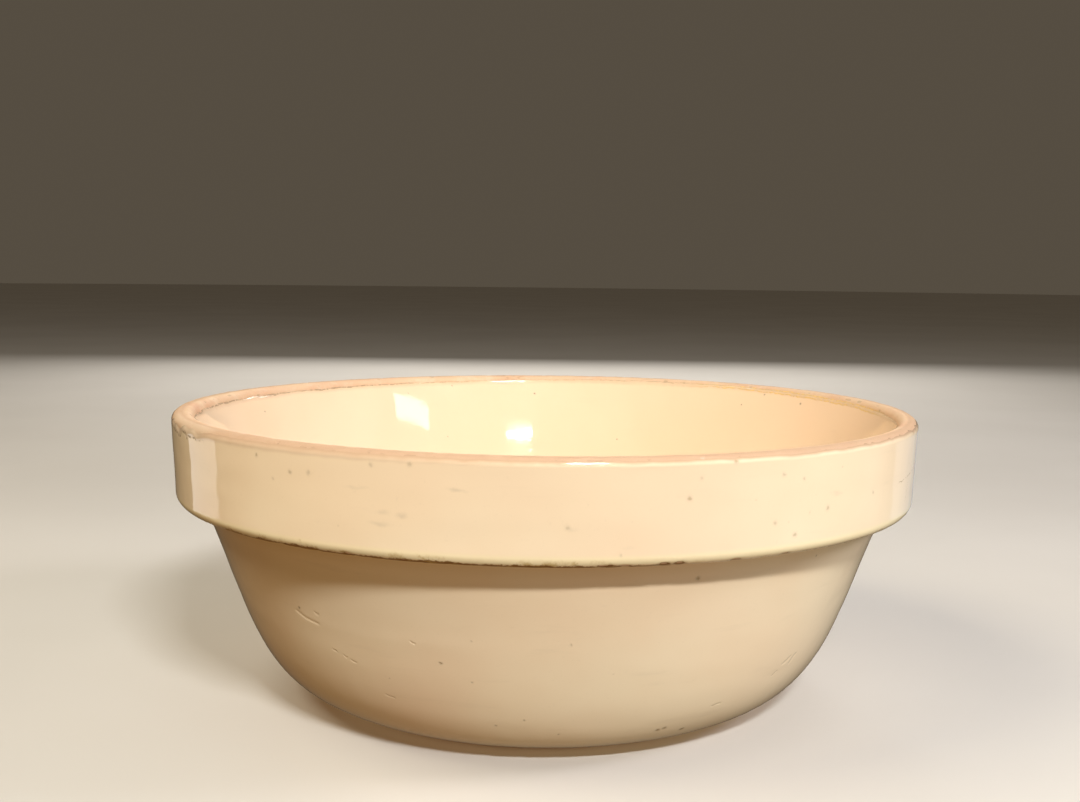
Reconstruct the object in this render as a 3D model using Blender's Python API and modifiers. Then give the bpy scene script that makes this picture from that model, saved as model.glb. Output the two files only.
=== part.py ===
"""A stoneware mixing bowl with a tall upright collar.

The bowl is one turned piece of fired clay with three coats of glaze on it: one inside, one
outside and one in the recess under the base. The lip and the foot ring are bare clay.

Units are metres, +Z is up, and the origin is on the bowl's axis in the plane it stands on.
Every outline is a list of (radius, height) points in one walk around the clay's section: from the
middle of the floor out and up the inside, over the lip, down the outside, under the foot and back
to the axis below. Turning such a walk about the axis gives faces that point out of the clay.
"""

import math

import bpy
from mathutils import Vector

# Driving dimensions, over the glaze.
RIM_RADIUS = 0.1525
HEIGHT = 0.117
COLLAR_HEIGHT = 0.035
WALL_TOP_RADIUS = 0.1415
FOOT_RADIUS = 0.0866
FLOOR_THICKNESS = 0.0095
LIP_WIDTH = 0.0078

# Glaze: each coat stands clear of the clay by a small gap.
GLAZE_THICKNESS = 0.0005
GLAZE_GAP = 0.0003
COAT = GLAZE_GAP + GLAZE_THICKNESS

# The clay itself, under the coat.
CLAY_RIM_RADIUS = RIM_RADIUS - COAT
CLAY_WALL_TOP_RADIUS = WALL_TOP_RADIUS - COAT
CLAY_UNDERSIDE = HEIGHT - COLLAR_HEIGHT + COAT

# Collar and lip details, on the clay.
FACE_TAPER = 0.0012
LIP_INNER_ROUNDING = 0.003
LIP_OUTER_ROUNDING = 0.0022
GLAZE_START_DEGREES = 35
COLLAR_LOWER_ROUNDING = 0.003
LEDGE_SLOPE = math.radians(6)
LEDGE_FILLET = 0.003
FILLET_FULLNESS = 0.6

# Curves of the wall: slopes from the vertical, slopes from the horizontal and lengths of pull.
WALL_TOP_SLOPE = math.radians(22)
WALL_TOP_PULL = 0.0475
WALL_FOOT_SLOPE = math.radians(7.5)
WALL_FOOT_PULL = 0.0335
WALL_FOOT_HEIGHT = 0.0015 + COAT
INSIDE_TOP_SLOPE = math.radians(20.5)
INSIDE_TOP_PULL = 0.065
INSIDE_FLOOR_RADIUS = 0.084
INSIDE_FLOOR_PULL = 0.03

# Foot ring and the recess inside it. Its outer rounding starts a little in from the wall's end.
FOOT_ROUNDING = 0.001
FOOT_SET_IN = 0.0015
FOOT_WIDTH = 0.011
FOOT_START_DEGREES = -30
RECESS_DEPTH = 0.0025
RECESS_FILLET = 0.002

# How finely the outline and the turning are divided.
TURN_STEPS = 48
WALL_STEPS = 11
ROUNDING_STEPS = 3
MERGE_DISTANCE = 0.00001

# Colour, roughness and metallic value of each material.
MATERIALS = {
    "bare_stoneware": ((0.76, 0.51, 0.31), 0.85, 0.0),
    "ivory_glaze": ((0.86, 0.70, 0.46), 0.12, 0.0),
}


def arc(centre, radius, start_degrees, end_degrees, steps):
    """Points of a circular arc, both ends included."""
    points = []
    for step in range(steps + 1):
        angle = math.radians(start_degrees + (end_degrees - start_degrees) * step / steps)
        points.append(centre + radius * Vector((math.cos(angle), math.sin(angle))))
    return points


def bezier(start, start_pull, end_pull, end, steps):
    """Points of a cubic Bezier curve, both ends included."""
    points = []
    for step in range(steps + 1):
        t = step / steps
        u = 1 - t
        weights = (u * u * u, 3 * u * u * t, 3 * u * t * t, t * t * t)
        controls = (start, start_pull, end_pull, end)
        points.append(sum((w * c for w, c in zip(weights, controls)), Vector((0, 0))))
    return points


def inside_outline():
    """The clay's inside, from the middle of the floor to the rounding of the lip."""
    floor_centre = Vector((0, FLOOR_THICKNESS))
    floor_edge = Vector((INSIDE_FLOOR_RADIUS, FLOOR_THICKNESS))
    top = Vector((CLAY_RIM_RADIUS - LIP_WIDTH, HEIGHT - LIP_INNER_ROUNDING))
    down_slope = Vector((-math.sin(INSIDE_TOP_SLOPE), -math.cos(INSIDE_TOP_SLOPE)))
    wall = bezier(
        floor_edge,
        floor_edge + Vector((INSIDE_FLOOR_PULL, 0)),
        top + INSIDE_TOP_PULL * down_slope,
        top,
        WALL_STEPS,
    )
    return [floor_centre] + wall


def lip_outline():
    """The bare lip, from the inner rounding to the place where the outer glaze starts."""
    inner_centre = Vector((CLAY_RIM_RADIUS - LIP_WIDTH + LIP_INNER_ROUNDING,
                           HEIGHT - LIP_INNER_ROUNDING))
    return (arc(inner_centre, LIP_INNER_ROUNDING, 180, 90, ROUNDING_STEPS)
            + arc(lip_outer_centre(), LIP_OUTER_ROUNDING, 90, GLAZE_START_DEGREES, ROUNDING_STEPS))


def outside_outline():
    """The clay's glazed outside, from the lip's outer rounding down to the foot."""
    lip_rounding = arc(
        lip_outer_centre(), LIP_OUTER_ROUNDING, GLAZE_START_DEGREES, 0, ROUNDING_STEPS
    )

    lower_centre = Vector((CLAY_RIM_RADIUS - FACE_TAPER - COLLAR_LOWER_ROUNDING,
                           CLAY_UNDERSIDE + COLLAR_LOWER_ROUNDING))
    ledge_turn = -90 - math.degrees(LEDGE_SLOPE)
    lower_rounding = arc(lower_centre, COLLAR_LOWER_ROUNDING, 0, ledge_turn, ROUNDING_STEPS)

    foot = Vector((FOOT_RADIUS, WALL_FOOT_HEIGHT))
    ledge_end = lower_rounding[-1]
    ledge_rise = (ledge_end.x - CLAY_WALL_TOP_RADIUS) * math.tan(LEDGE_SLOPE)
    wall_top = Vector((CLAY_WALL_TOP_RADIUS, ledge_end.y + ledge_rise))
    wall = bezier(
        wall_top,
        wall_top + WALL_TOP_PULL * Vector((-math.sin(WALL_TOP_SLOPE), -math.cos(WALL_TOP_SLOPE))),
        foot + WALL_FOOT_PULL * Vector((math.cos(WALL_FOOT_SLOPE), math.sin(WALL_FOOT_SLOPE))),
        foot,
        WALL_STEPS,
    )
    return lip_rounding + lower_rounding + ledge_fillet(ledge_end, wall_top, wall[1]) + wall[1:]


def ledge_fillet(ledge_start, corner, wall_point):
    """The hollow rounding where the collar's underside meets the wall."""
    along_ledge = (ledge_start - corner).normalized()
    along_wall = (wall_point - corner).normalized()
    start = corner + LEDGE_FILLET * along_ledge
    end = corner + LEDGE_FILLET * along_wall
    start_pull = start.lerp(corner, FILLET_FULLNESS)
    end_pull = end.lerp(corner, FILLET_FULLNESS)
    return bezier(start, start_pull, end_pull, end, ROUNDING_STEPS)


def foot_outline():
    """The bare foot ring that the bowl stands on."""
    outer_centre = Vector((FOOT_RADIUS - FOOT_SET_IN, FOOT_ROUNDING))
    inner_centre = Vector((outer_centre.x - FOOT_WIDTH, FOOT_ROUNDING))
    return (arc(outer_centre, FOOT_ROUNDING, FOOT_START_DEGREES, -90, ROUNDING_STEPS)
            + arc(inner_centre, FOOT_ROUNDING, -90, -180, ROUNDING_STEPS))


def recess_outline():
    """The clay's underside inside the foot ring, in to the axis."""
    side = FOOT_RADIUS - FOOT_SET_IN - FOOT_WIDTH - FOOT_ROUNDING
    roof = RECESS_DEPTH + COAT
    fillet_centre = Vector((side - RECESS_FILLET, roof - RECESS_FILLET))
    return arc(fillet_centre, RECESS_FILLET, 0, 90, ROUNDING_STEPS) + [Vector((0, roof))]


def lip_outer_centre():
    """Centre of the rounding between the top of the lip and the collar's face."""
    return Vector((CLAY_RIM_RADIUS - LIP_OUTER_ROUNDING, HEIGHT - LIP_OUTER_ROUNDING))


def without_repeats(points):
    """The outline without points that fall on the one before them."""
    kept = [points[0]]
    for point in points[1:]:
        if (point - kept[-1]).length > MERGE_DISTANCE:
            kept.append(point)
    return kept


def outward_offset(points, distance):
    """The outline moved off the clay by an even distance; ends on the axis stay on it."""
    moved = []
    for index, point in enumerate(points):
        before = points[max(index - 1, 0)]
        after = points[min(index + 1, len(points) - 1)]
        normals = []
        for first, second in ((before, point), (point, after)):
            if first != second:
                along = (second - first).normalized()
                normals.append(Vector((-along.y, along.x)))
        middle = sum(normals, Vector((0, 0))).normalized()
        stretch = middle.dot(normals[0])
        target = point + middle * distance / stretch
        if point.x == 0:
            target.x = 0
        moved.append(target)
    return moved


def make_material(name):
    """A plain Principled material from the table of materials."""
    colour, roughness, metallic = MATERIALS[name]
    material = bpy.data.materials.new(name)
    material.use_nodes = True
    shader = material.node_tree.nodes["Principled BSDF"]
    shader.inputs["Base Color"].default_value = (*colour, 1)
    shader.inputs["Roughness"].default_value = roughness
    shader.inputs["Metallic"].default_value = metallic
    return material


def turned_object(name, points, material, collection):
    """An outline turned about the Z axis with a Screw modifier."""
    mesh = bpy.data.meshes.new(name)
    vertices = [(point.x, 0, point.y) for point in points]
    edges = [(index, index + 1) for index in range(len(points) - 1)]
    mesh.from_pydata(vertices, edges, [])
    mesh.materials.append(material)
    turned = bpy.data.objects.new(name, mesh)
    collection.objects.link(turned)

    screw = turned.modifiers.new("turn", "SCREW")
    screw.axis = "Z"
    screw.angle = math.tau
    screw.steps = TURN_STEPS
    screw.render_steps = TURN_STEPS
    screw.use_merge_vertices = True
    screw.merge_threshold = MERGE_DISTANCE
    screw.use_smooth_shade = True
    return turned


def make_body(material, collection):
    """The fired clay: floor, wall, collar, lip and foot ring in one."""
    outline = without_repeats(
        inside_outline() + lip_outline() + outside_outline() + foot_outline() + recess_outline()
    )
    return turned_object("stoneware_body", outline, material, collection)


def make_coat(name, clay_outline, material, collection):
    """A thin coat of glaze over one stretch of the clay's outline."""
    surface = outward_offset(without_repeats(clay_outline), GLAZE_GAP)
    coat = turned_object(name, surface, material, collection)
    shell = coat.modifiers.new("thickness", "SOLIDIFY")
    shell.thickness = GLAZE_THICKNESS
    shell.offset = 1
    shell.use_even_offset = True
    shell.use_rim = True
    return coat


def main():
    """Clears the scene and builds the bowl."""
    for item in list(bpy.data.objects):
        bpy.data.objects.remove(item)

    bowl = bpy.data.collections.new("mixing_bowl")
    bpy.context.scene.collection.children.link(bowl)
    clay = make_material("bare_stoneware")
    glaze = make_material("ivory_glaze")

    make_body(clay, bowl)
    make_coat("inner_glaze", inside_outline(), glaze, bowl)
    make_coat("outer_glaze", outside_outline(), glaze, bowl)
    make_coat("base_glaze", recess_outline(), glaze, bowl)


main()
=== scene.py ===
"""Looks of a collared stoneware mixing bowl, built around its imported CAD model.

The clay and its three coats of glaze are remade as fine closed meshes: the clay with a worn bare
lip and foot ring, and the coats with uneven edges, rolled or worn thin, chips and the slight
unevenness of handwork. Lengths are in metres. An azimuth of 0 faces the camera and grows to the
right.
"""

import math

import bpy
import numpy as np
from mathutils import Matrix, Vector, noise


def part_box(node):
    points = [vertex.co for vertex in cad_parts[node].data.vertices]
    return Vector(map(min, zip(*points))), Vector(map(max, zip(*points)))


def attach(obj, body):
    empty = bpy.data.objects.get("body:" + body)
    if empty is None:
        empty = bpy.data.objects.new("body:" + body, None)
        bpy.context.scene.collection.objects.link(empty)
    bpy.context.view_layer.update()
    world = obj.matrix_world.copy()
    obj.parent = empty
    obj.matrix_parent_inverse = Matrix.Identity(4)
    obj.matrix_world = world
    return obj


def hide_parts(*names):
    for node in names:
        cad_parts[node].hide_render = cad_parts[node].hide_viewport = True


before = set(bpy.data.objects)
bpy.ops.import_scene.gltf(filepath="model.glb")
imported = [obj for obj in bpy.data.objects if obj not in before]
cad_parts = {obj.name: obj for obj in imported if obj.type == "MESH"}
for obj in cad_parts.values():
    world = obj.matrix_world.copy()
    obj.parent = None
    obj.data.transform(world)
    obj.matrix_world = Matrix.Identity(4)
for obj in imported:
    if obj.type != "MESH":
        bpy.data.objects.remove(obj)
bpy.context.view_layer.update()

# ---------------- sizes

RIM_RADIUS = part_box("outer_glaze")[1].x
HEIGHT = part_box("stoneware_body")[1].z
COLLAR_HEIGHT = 0.035
WALL_TOP_RADIUS = 0.1415
FOOT_RADIUS = 0.0866
FLOOR_THICKNESS = 0.0098
LIP_WIDTH = 0.0086
LIP_THINNING = 0.0010
LIP_THINNING_DEPTH = 0.03
GLAZE = 0.0005

CLAY_RIM_RADIUS = RIM_RADIUS - GLAZE
CLAY_WALL_TOP_RADIUS = WALL_TOP_RADIUS - GLAZE
FACE_TAPER = 0.0012
LIP_INNER_ROUNDING = 0.0032
LIP_OUTER_ROUNDING = 0.0025
GLAZE_START_DEGREES = 50
COLLAR_LOWER_ROUNDING = 0.0033
LEDGE_SLOPE = math.radians(6)
LEDGE_FILLET = 0.003

WALL_TOP_SLOPE = math.radians(22)
WALL_TOP_PULL = 0.0475
WALL_FOOT_SLOPE = math.radians(7.5)
WALL_FOOT_PULL = 0.0335
WALL_FOOT_HEIGHT = 0.0015 + GLAZE
INSIDE_TOP_SLOPE = math.radians(20.5)
INSIDE_TOP_PULL = 0.065
INSIDE_FLOOR_RADIUS = 0.084
INSIDE_FLOOR_PULL = 0.03

FOOT_ROUNDING = 0.001
FOOT_SET_IN = 0.0015
FOOT_WIDTH = 0.011
RECESS_DEPTH = 0.0025 + GLAZE
RECESS_FILLET = 0.002

# Where the stain starts on the collar's lower rounding, then the bent groove in the wall.
ARRIS_DEGREES = 76
GROOVE_TOP = 0.0555
GROOVE_BOTTOM = 0.0485
GROOVE_PATH = ((-41.9, 0.0535), (-40.0, 0.0515), (-37.4, 0.0504))
GROOVE_HALF_WIDTH = 0.00055
GROOVE_DEPTH = 0.00035

# The coats: how deep they sit in the clay, and how their edges are shaped.
EMBEDDED = 0.0003
SUNKEN = 0.00006
BEAD = 0.0016
FEATHER = 0.0022
INNER_EDGE_DROP = 0.0002
INNER_EDGE_CLIMB = 0.0024
BASE_EDGE_START = 0.0004
EDGE_ZONE = 0.004
EDGE_FADE = 0.006
TOP_EDGE_FADE = 0.012
BASE_EDGE_FADE = 0.005
LEFT_CHIP_REACH = 0.0034
RIGHT_CHIP_REACH = 0.0016
ARRIS_CHIP_COUNT = 60
ARRIS_CHIP_DEPTH = 0.0007

# Unevenness: an oval, three-sided and wavy rim, tool and hand marks, and the lip's grain.
OVAL = 0.0008
THREE_SIDED = 0.0004
RIM_WAVE = 0.0002
TOOL_MARKS = 0.00008
HAND_MARKS = 0.00003
LIP_LUMPS = 0.00012
LIP_GRAIN = 0.00010
LIP_PITS = 0.0014
LIP_FADE = 0.001

# The rows stop this far from the axis. FAR is an edge distance that means no edge is near.
CLAY_AXIS_GAP = 0.002
COAT_AXIS_GAP = 0.003
FAR = 0.1

# Places round the rim: azimuth and half width in degrees.
THIN_LIP = (88, 45)
CLIMBING_EDGE = (145, 50)
RAGGED_RIGHT = (135, 38)
RAGGED_LEFT = (-100, 30)
LEFT_CHIPS = (-62, 11)
RIGHT_CHIPS = (66, 7)

# How the coats' edges wander: size, turns round the rim and seed of each noise.
INNER_EDGE_WAVES = ((0.0004, 9, 11), (0.0003, 34, 12))
OUTER_EDGE_WAVES = ((0.0003, 14, 23), (0.00025, 45, 24))
FOOT_EDGE_WAVES = ((0.0004, 12, 25),)
BASE_EDGE_WAVES = ((0.0003, 16, 31),)

# Spacing of the clay's rows in each stretch of its section, in walking order.
CLAY_ROWS = {
    "floor": 0.02, "inside": 0.008, "lip_inner": 0.0004, "lip_top": 0.0005, "lip_outer": 0.0004,
    "face": 0.004, "lower": 0.0006, "ledge": 0.003, "fillet": 0.0012, "wall": 0.006,
    "foot_outer": 0.0004, "foot": 0.0012, "foot_inner": 0.0004, "recess": 0.0008, "roof": 0.02,
}


# ---------------- the clay's section

def arc(centre, radius, start_degrees, end_degrees, steps=24):
    """Points of a circular arc in (radius, height)."""
    angles = np.radians(np.linspace(start_degrees, end_degrees, steps + 1))
    return np.array(centre) + radius * np.column_stack([np.cos(angles), np.sin(angles)])


def bezier(start, start_pull, end_pull, end, steps=120):
    """Points of a cubic Bezier curve in (radius, height)."""
    t = np.linspace(0, 1, steps + 1)[:, None]
    u = 1 - t
    return (u**3 * np.array(start) + 3 * u**2 * t * np.array(start_pull)
            + 3 * u * t**2 * np.array(end_pull) + t**3 * np.array(end))


def line(start, end, steps=24):
    """Points of a straight stretch in (radius, height)."""
    return np.array(start) + np.linspace(0, 1, steps + 1)[:, None] * np.subtract(end, start)


def section_stretches():
    """The clay's section as named stretches, walked from the floor's middle round to the base's."""
    lip_in = (CLAY_RIM_RADIUS + GLAZE - LIP_WIDTH, HEIGHT - LIP_INNER_ROUNDING)
    floor_edge = (INSIDE_FLOOR_RADIUS, FLOOR_THICKNESS)
    floor_pull = (INSIDE_FLOOR_RADIUS + INSIDE_FLOOR_PULL, FLOOR_THICKNESS)
    lip_pull = (lip_in[0] - INSIDE_TOP_PULL * math.sin(INSIDE_TOP_SLOPE),
                lip_in[1] - INSIDE_TOP_PULL * math.cos(INSIDE_TOP_SLOPE))
    inner_centre = (lip_in[0] + LIP_INNER_ROUNDING, lip_in[1])
    outer_centre = (CLAY_RIM_RADIUS - LIP_OUTER_ROUNDING, HEIGHT - LIP_OUTER_ROUNDING)

    underside = HEIGHT - COLLAR_HEIGHT + GLAZE
    lower_centre = (CLAY_RIM_RADIUS - FACE_TAPER - COLLAR_LOWER_ROUNDING,
                    underside + COLLAR_LOWER_ROUNDING)
    ledge_turn = -90 - math.degrees(LEDGE_SLOPE)
    lower = arc(lower_centre, COLLAR_LOWER_ROUNDING, 0, ledge_turn)
    ledge_rise = (lower[-1, 0] - CLAY_WALL_TOP_RADIUS) * math.tan(LEDGE_SLOPE)
    wall_top = np.array([CLAY_WALL_TOP_RADIUS, lower[-1, 1] + ledge_rise])
    down = np.array([-math.sin(WALL_TOP_SLOPE), -math.cos(WALL_TOP_SLOPE)])
    foot = np.array([FOOT_RADIUS, WALL_FOOT_HEIGHT])
    foot_pull = foot + WALL_FOOT_PULL * np.array([math.cos(WALL_FOOT_SLOPE),
                                                  math.sin(WALL_FOOT_SLOPE)])
    wall_start = wall_top + LEDGE_FILLET * down
    ledge_end = wall_top + LEDGE_FILLET * (lower[-1] - wall_top) / np.linalg.norm(lower[-1] - wall_top)
    wall = bezier(wall_start, wall_top + WALL_TOP_PULL * down, foot_pull, foot)

    foot_centre = (FOOT_RADIUS - FOOT_SET_IN, FOOT_ROUNDING)
    foot_inner_centre = (foot_centre[0] - FOOT_WIDTH, FOOT_ROUNDING)
    recess_side = foot_inner_centre[0] - FOOT_ROUNDING
    recess_centre = (recess_side - RECESS_FILLET, RECESS_DEPTH - RECESS_FILLET)
    return {
        "floor": line((0, FLOOR_THICKNESS), floor_edge),
        "inside": bezier(floor_edge, floor_pull, lip_pull, lip_in),
        "lip_inner": arc(inner_centre, LIP_INNER_ROUNDING, 180, 90),
        "lip_top": line((inner_centre[0], HEIGHT), (outer_centre[0], HEIGHT)),
        "lip_outer": arc(outer_centre, LIP_OUTER_ROUNDING, 90, 0),
        "face": line((CLAY_RIM_RADIUS, outer_centre[1]), lower[0]),
        "lower": lower,
        "ledge": line(lower[-1], ledge_end),
        "fillet": bezier(ledge_end, wall_top, wall_top, wall_start, 24),
        "wall": wall,
        "foot_outer": np.vstack([foot, arc(foot_centre, FOOT_ROUNDING, -30, -90)]),
        "foot": line((foot_centre[0], 0), (foot_inner_centre[0], 0)),
        "foot_inner": arc(foot_inner_centre, FOOT_ROUNDING, -90, -180),
        "recess": arc(recess_centre, RECESS_FILLET, 0, 90),
        "roof": line((recess_centre[0], RECESS_DEPTH), (0, RECESS_DEPTH)),
    }


def joined_section():
    """The whole section with its running length and normals, and where each stretch starts."""
    stretches = section_stretches()
    points = []
    starts = {}
    length = 0.0
    for name, stretch in stretches.items():
        if points:
            length += np.linalg.norm(stretch[0] - points[-1][-1])
        starts[name] = length
        length += np.linalg.norm(np.diff(stretch, axis=0), axis=1).sum()
        points.append(stretch)
    starts["end"] = length
    walk = np.vstack(points)
    keep = np.concatenate([[True], np.linalg.norm(np.diff(walk, axis=0), axis=1) > 1e-7])
    walk = walk[keep]
    run = np.concatenate([[0], np.cumsum(np.linalg.norm(np.diff(walk, axis=0), axis=1))])
    along = np.gradient(walk, run, axis=0)
    along /= np.linalg.norm(along, axis=1)[:, None]
    return run, walk, np.column_stack([-along[:, 1], along[:, 0]]), starts


RUN, WALK, NORMAL, START = joined_section()
GLAZE_START = START["lip_outer"] + math.radians(90 - GLAZE_START_DEGREES) * LIP_OUTER_ROUNDING
ARRIS = START["lower"] + math.radians(ARRIS_DEGREES) * COLLAR_LOWER_ROUNDING


def facing(azimuth, centre_degrees, half_width_degrees):
    """A smooth bump in azimuth that is 1 at its centre."""
    away = (azimuth - math.radians(centre_degrees) + math.pi) % math.tau - math.pi
    return np.exp(-(away / math.radians(half_width_degrees)) ** 2)


def lip_thinning(run, azimuth):
    """How far the inside of the lip is set back where the lip is thinner, on the right."""
    inside = np.clip((START["lip_outer"] - run) / (START["lip_outer"] - START["lip_top"]), 0, 1)
    depth = np.exp(-(np.clip(START["lip_inner"] - run, 0, None) / LIP_THINNING_DEPTH) ** 2)
    return LIP_THINNING * facing(azimuth, *THIN_LIP) * inside * depth


def turned(run, azimuth, lift=0.0):
    """World points at these running lengths and azimuths, lifted off the clay along its normal."""
    radius = np.interp(run, RUN, WALK[:, 0]) + lift * np.interp(run, RUN, NORMAL[:, 0])
    height = np.interp(run, RUN, WALK[:, 1]) + lift * np.interp(run, RUN, NORMAL[:, 1])
    radius = radius + lip_thinning(run, azimuth)
    share = np.clip(height / HEIGHT, 0, 1)
    radius = radius * (1 + share * (OVAL * np.cos(2 * azimuth - 1.2)
                                    + THREE_SIDED * np.cos(3 * azimuth + 0.5)))
    height = height + share**2 * RIM_WAVE * np.cos(2 * azimuth + 2.0)
    return np.stack([radius * np.sin(azimuth), -radius * np.cos(azimuth), height], axis=-1)


def run_at(height, inside=False):
    """The running length at a height, outside or inside."""
    first, last = ("inside", "lip_inner") if inside else ("lip_outer", "foot_outer")
    near = (RUN >= START[first]) & (RUN <= START[last])
    order = np.argsort(WALK[near, 1], kind="stable")
    return np.interp(height, WALK[near, 1][order], RUN[near][order])


def point_at(azimuth_degrees, height, inside=False):
    """A point on the glazed surface at an azimuth and a height."""
    return Vector(turned(run_at(height, inside), math.radians(azimuth_degrees), GLAZE))


def inner_edge(azimuth):
    """Running length where the inside glaze stops; it climbs the lip at the back right."""
    return START["lip_inner"] - INNER_EDGE_DROP + INNER_EDGE_CLIMB * facing(azimuth, *CLIMBING_EDGE)


# ---------------- mesh helpers

def graded_rows(breaks, spacings):
    """Running lengths from the first break to the last, about one spacing apart in each stretch."""
    rows = [breaks[0]]
    for start, end, spacing in zip(breaks, breaks[1:], spacings):
        count = max(1, round((end - start) / spacing))
        rows.extend(start + (end - start) * (step + 1) / count for step in range(count))
    return np.array(rows)


def smooth_noise(points, scale, seed):
    """Smooth noise from -1 to 1 at world points, with features about 1 / scale across."""
    shift = Vector((seed * 7.31, seed * 3.17, seed * 5.53))
    flat = points.reshape(-1, 3) * scale
    values = [noise.noise(Vector(point) + shift) for point in flat]
    return np.array(values).reshape(points.shape[:-1])


def ring_noise(azimuth, turns, seed):
    """Smooth noise along the rim that closes on itself."""
    ring = np.stack([np.cos(azimuth), np.sin(azimuth), np.full_like(azimuth, seed)], axis=-1)
    return smooth_noise(ring, turns, seed)


def wandering(azimuth, waves):
    """How far an edge strays along the section, as a sum of noises."""
    return sum(size * ring_noise(azimuth, turns, seed) for size, turns, seed in waves)


def solid(name, points, on_axis, attributes):
    """A closed mesh from a grid of points; rows go along the section, columns round the axis."""
    rows, columns = points.shape[:2]
    index = np.arange(rows * columns).reshape(rows, columns)
    upper = index[:-1] if on_axis else index
    lower = index[1:] if on_axis else np.roll(index, -1, axis=0)
    quads = np.stack([upper, lower, np.roll(lower, -1, axis=1), np.roll(upper, -1, axis=1)], axis=-1)
    faces = quads.reshape(-1, 4).tolist()
    vertices = points.reshape(-1, 3)
    values = {key: array.reshape(-1) for key, array in attributes.items()}
    if on_axis:
        first, last = rows * columns, rows * columns + 1
        ends = np.vstack([points[0].mean(axis=0), points[-1].mean(axis=0)])
        vertices = np.vstack([vertices, ends])
        values = {key: np.append(array, [array[0], array[-1]]) for key, array in values.items()}
        around = np.roll(index, -1, axis=1)
        faces += [[first, a, b] for a, b in zip(index[0].tolist(), around[0].tolist())]
        faces += [[last, b, a] for a, b in zip(index[-1].tolist(), around[-1].tolist())]
    mesh = bpy.data.meshes.new(name)
    mesh.from_pydata(vertices.tolist(), [], faces)
    for key, array in values.items():
        layer = mesh.attributes.new(key, "FLOAT", "POINT")
        layer.data.foreach_set("value", np.ascontiguousarray(array, dtype=np.float32))
    mesh.shade_smooth()
    mesh.update()
    piece = bpy.data.objects.new(name, mesh)
    bpy.context.scene.collection.objects.link(piece)
    return piece


# Columns round the axis, closest together in front and round the groove in the wall.
AZIMUTHS = np.radians(graded_rows([-180, -95, -44, -35, 60, 95, 180],
                                  [0.6, 0.5, 0.16, 0.42, 0.5, 0.6])[:-1])


def grid(rows):
    """Matching arrays of running length and azimuth for a grid of rows and columns."""
    return np.meshgrid(rows, AZIMUTHS, indexing="ij")


def fade(distance, length):
    """1 up to no distance, then falling evenly to 0 at this length."""
    return np.clip(1 - distance / length, 0, 1)


def bead(distance):
    """Height of a rolled glaze edge at a distance in from it, as a share of the coat."""
    near = np.clip(distance / BEAD, 0, 1)
    return np.sqrt(1 - (1 - near) ** 2)


def feather(distance):
    """Height of a worn glaze edge that thins out to nothing, as a share of the coat."""
    near = np.clip(distance / FEATHER, 0, 1)
    return near**2 * (3 - 2 * near)


# ---------------- the pieces

def turning_marks(points):
    """The slight unevenness that the shaping tool and the hand leave in the surface."""
    flattened = points * np.array([1.0, 1.0, 5.0])
    return TOOL_MARKS * smooth_noise(flattened, 30, 1) + HAND_MARKS * smooth_noise(points, 160, 2)


def make_clay():
    """The fired clay, fine at its bare lip and foot and coarse under the glaze."""
    breaks = [START[name] for name in (*CLAY_ROWS, "end")]
    breaks[0] = CLAY_AXIS_GAP
    breaks[-1] -= CLAY_AXIS_GAP
    run, azimuth = grid(graded_rows(breaks, CLAY_ROWS.values()))
    points = turned(run, azimuth)
    on_lip = fade(START["lip_inner"] - run, LIP_FADE) * fade(run - GLAZE_START, LIP_FADE)
    grain = LIP_LUMPS * smooth_noise(points, 220, 3) + LIP_GRAIN * smooth_noise(points, 700, 4)
    pits = np.clip(smooth_noise(points, 420, 5) - 0.50, 0, 1) * on_lip
    lift = grain * on_lip - LIP_PITS * pits
    points = turned(run, azimuth, lift)
    clay = solid("clay_body", points, True, {
        "lip_run": run - START["lip_inner"],
        "edge_distance": inner_edge(azimuth) - run,
        "pit": pits,
    })
    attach(clay, "root")
    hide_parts("stoneware_body")
    return clay


def coat_lift(points, share):
    """Height of a coat's surface over the clay, slightly uneven; share is 1 away from its edges."""
    uneven = 1 + 0.18 * smooth_noise(points, 45, 6)
    return GLAZE * share * uneven - SUNKEN


def make_inner_glaze():
    """The coat inside, with a lumpy edge below the lip."""
    edge = START["lip_inner"] - INNER_EDGE_DROP
    breaks = [COAT_AXIS_GAP, START["inside"], edge - EDGE_FADE, edge]
    run, azimuth = grid(graded_rows(breaks, [0.004, 0.002, 0.0004]))
    lumps = inner_edge(azimuth) - edge + wandering(azimuth, INNER_EDGE_WAVES)
    rough = facing(azimuth, *RAGGED_RIGHT) + 0.7 * facing(azimuth, *RAGGED_LEFT)
    lumps += 0.0006 * rough * ring_noise(azimuth, 75, 13)
    run = run + lumps * fade(edge - run, EDGE_FADE)
    distance = edge + lumps - run
    lift = coat_lift(turned(run, azimuth), bead(distance))
    outer = turned(run, azimuth, lift)

    hidden_rows = graded_rows([COAT_AXIS_GAP, START["inside"], edge], [0.03, 0.008])[::-1]
    hidden_run, hidden_azimuth = grid(hidden_rows)
    hidden_run = hidden_run + lumps[:1] * fade(edge - hidden_run, EDGE_FADE)
    hidden = turned(hidden_run, hidden_azimuth, -EMBEDDED)
    far = np.full(hidden_run.shape, FAR)
    coat = solid("glaze_inside", np.vstack([outer, hidden]), True,
                 {"edge_distance": np.vstack([distance, far])})
    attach(coat, "root")
    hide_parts("inner_glaze")
    return coat


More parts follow.
